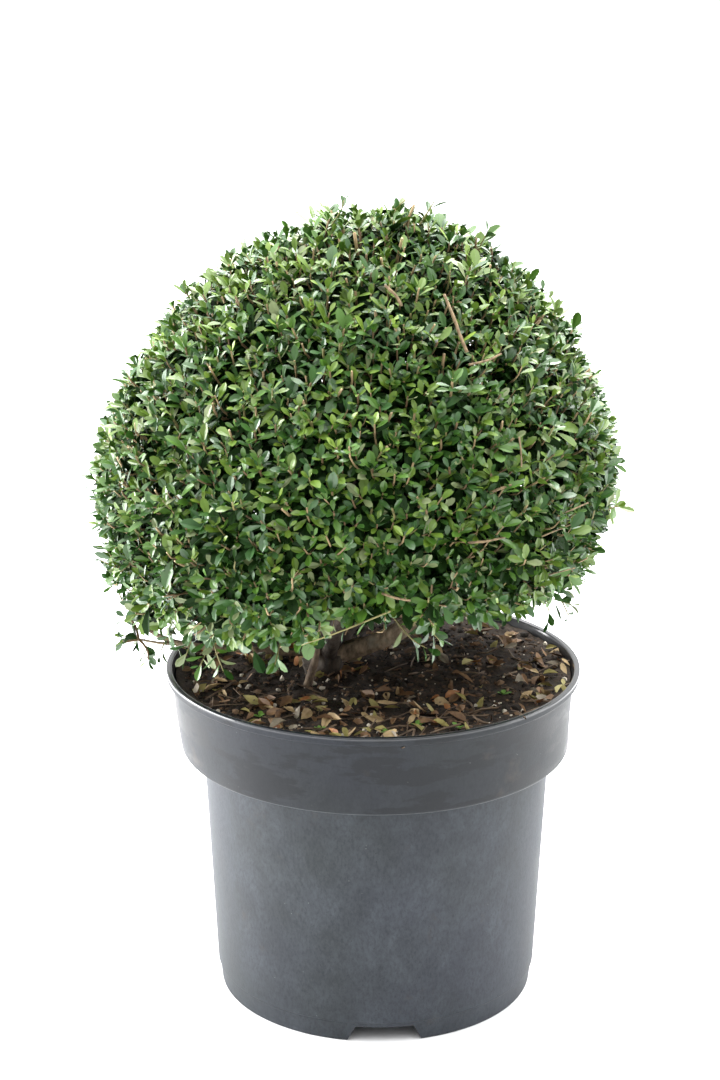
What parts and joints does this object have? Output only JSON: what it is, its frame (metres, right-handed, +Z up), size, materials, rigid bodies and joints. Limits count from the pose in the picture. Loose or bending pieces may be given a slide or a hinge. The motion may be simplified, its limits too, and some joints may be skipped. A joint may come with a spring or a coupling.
{
  "type": "potted japanese holly ball",
  "caption": "Evergreen shrub clipped to a dense ball on a short forked trunk, in a dark grey round nursery pot with a deep collar, filled with soil.",
  "frame": {"origin": "on the pot's axis, at the flat underside that the pot stands on", "axes": "+Z up, -Y towards the camera of the picture, +X to its right"},
  "size_m": [0.3519, 0.3528, 0.5367],
  "materials": {
    "pot": "satin, scuffed and dusty",
    "soil": "moist crumbly peat compost",
    "bark": "matt, finely furrowed",
    "leaves": "glossy dark green leaf with a paler underside"
  },
  "bodies": {
    "root": {"pot": "pot", "soil": "soil", "trunk": "bark", "bough_front": "bark", "bough_right": "bark", "bough_back_right": "bark", "bough_back_left": "bark", "bough_left": "bark", "bough_top": "bark", "stem_front_thin": "bark", "branch_low_left": "bark", "foliage_front": "leaves", "foliage_right": "leaves", "foliage_back_right": "leaves", "foliage_back_left": "leaves", "foliage_left": "leaves", "foliage_top": "leaves", "sprig_low_left": "leaves"}
  },
  "joints": []
}
